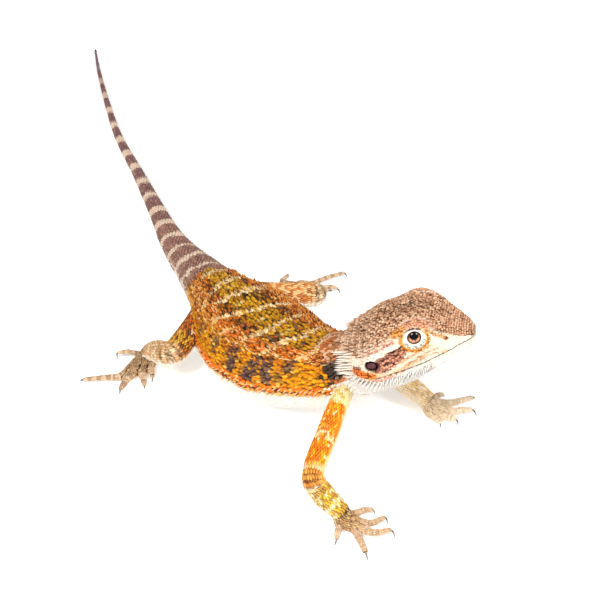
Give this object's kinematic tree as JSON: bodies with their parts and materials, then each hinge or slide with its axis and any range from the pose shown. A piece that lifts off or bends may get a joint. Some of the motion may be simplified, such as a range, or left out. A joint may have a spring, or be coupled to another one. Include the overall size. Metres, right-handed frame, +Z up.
{
  "type": "life-size model of a young central bearded dragon",
  "caption": "Life-size still model of a young bearded dragon lizard standing alert: raised head, spiny throat and flanks, spread legs and a long tapering tail on the floor.",
  "frame": {"origin": "on the floor, at the flat of the belly that the animal rests on", "axes": "+X forward along the trunk, with the tail trailing towards -X and the head turned towards +Y; +Y to the animal's left; +Z up"},
  "size_m": [0.2707, 0.0925, 0.0447],
  "materials": {
    "head_skin": "matt, finely scaled, tan and pale pink",
    "jaw_skin": "matt, scaled, cream white",
    "neck_skin": "matt, scaled and spiny, tan and cream",
    "back_skin": "matt, scaled and spiny, olive gold with orange and cream bars",
    "tail_skin": "matt, keeled scales, brown and cream rings",
    "limb_skin": "matt, keeled scales, orange and yellow",
    "foot_skin": "matt, scaled, tan",
    "eye": "wet gloss, dark brown iris",
    "eardrum": "smooth, dark plum",
    "claw": "smooth horn, grey brown"
  },
  "bodies": {
    "root": {"head": "head_skin", "lower_jaw": "jaw_skin", "neck": "neck_skin", "torso": "back_skin", "tail_base": "tail_skin", "tail_middle": "tail_skin", "tail_end": "tail_skin", "eye_left": "eye", "eardrum_left": "eardrum", "eye_right": "eye", "eardrum_right": "eardrum", "upper_arm_left": "limb_skin", "forearm_left": "limb_skin", "hand_left": "foot_skin", "thigh_left": "limb_skin", "shank_left": "limb_skin", "foot_left": "foot_skin", "upper_arm_right": "limb_skin", "forearm_right": "limb_skin", "hand_right": "foot_skin", "thigh_right": "limb_skin", "shank_right": "limb_skin", "foot_right": "foot_skin", "hand_claw_left_1": "claw", "foot_claw_left_1": "claw", "hand_claw_left_2": "claw", "foot_claw_left_2": "claw", "hand_claw_left_3": "claw", "foot_claw_left_3": "claw", "hand_claw_left_4": "claw", "foot_claw_left_4": "claw", "hand_claw_left_5": "claw", "foot_claw_left_5": "claw", "hand_claw_right_1": "claw", "foot_claw_right_1": "claw", "hand_claw_right_2": "claw", "foot_claw_right_2": "claw", "hand_claw_right_3": "claw", "foot_claw_right_3": "claw", "hand_claw_right_4": "claw", "foot_claw_right_4": "claw", "hand_claw_right_5": "claw", "foot_claw_right_5": "claw"}
  },
  "joints": []
}
